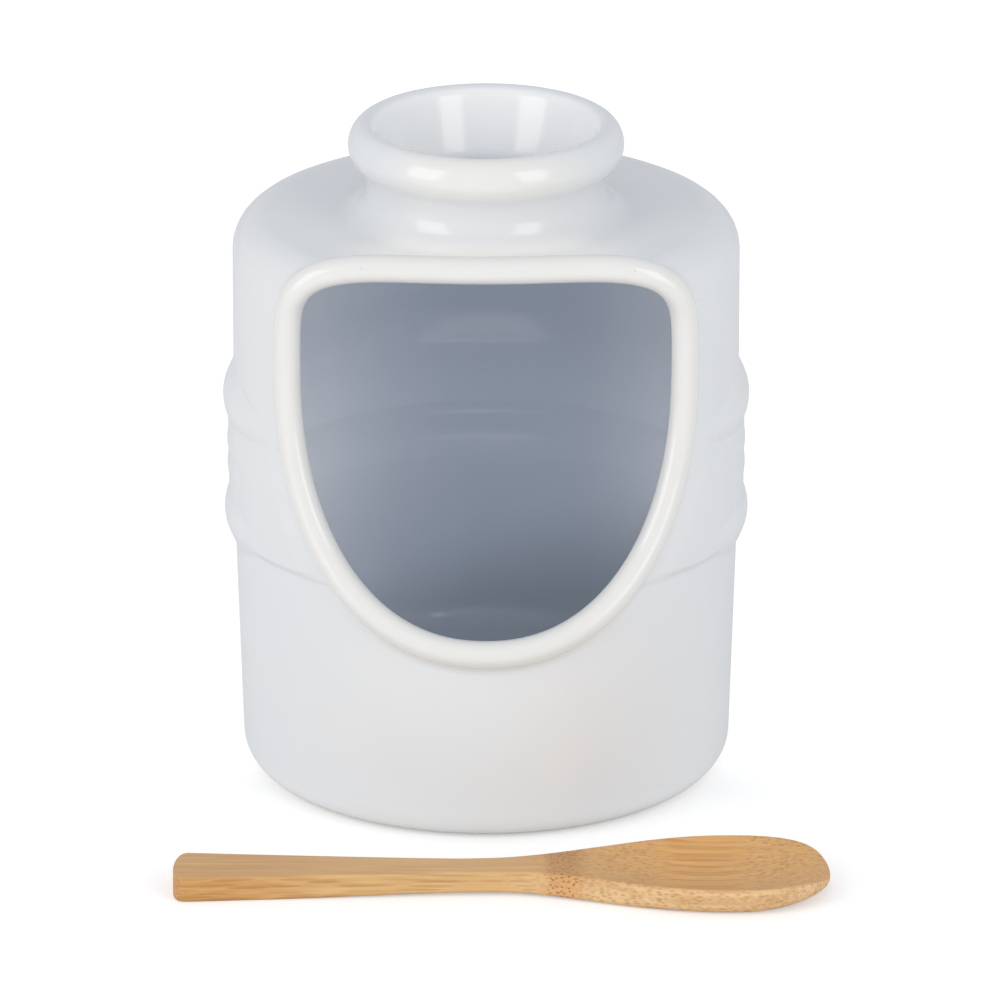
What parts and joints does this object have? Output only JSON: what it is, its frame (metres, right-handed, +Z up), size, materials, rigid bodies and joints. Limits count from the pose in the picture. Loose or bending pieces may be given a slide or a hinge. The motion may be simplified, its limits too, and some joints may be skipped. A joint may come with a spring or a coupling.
{
  "type": "salt pig",
  "caption": "White glazed ceramic salt pig: round jar with a ribbed band, an upward scoop mouth with a rolled rim and an open filler neck, with a loose bamboo spoon",
  "frame": {"origin": "middle of the jar's foot, on the table", "axes": "+Z up along the jar's axis; the mouth faces -Y; the spoon lies in front along X with its handle towards -X"},
  "size_m": [0.1415, 0.1526, 0.1475],
  "materials": {
    "glaze": "smooth white gloss glaze, slightly pooled in the grooves",
    "bamboo": "bare sanded bamboo with long fibres and dark bundle flecks"
  },
  "bodies": {
    "vessel": {"vessel": "glaze"},
    "spoon": {"spoon": "bamboo"}
  },
  "joints": [
    {"name": "spoon_lift", "type": "slide", "parent": "vessel", "child": "spoon", "axis": [0, 0, 1], "range_m": [0, 0.16]}
  ]
}
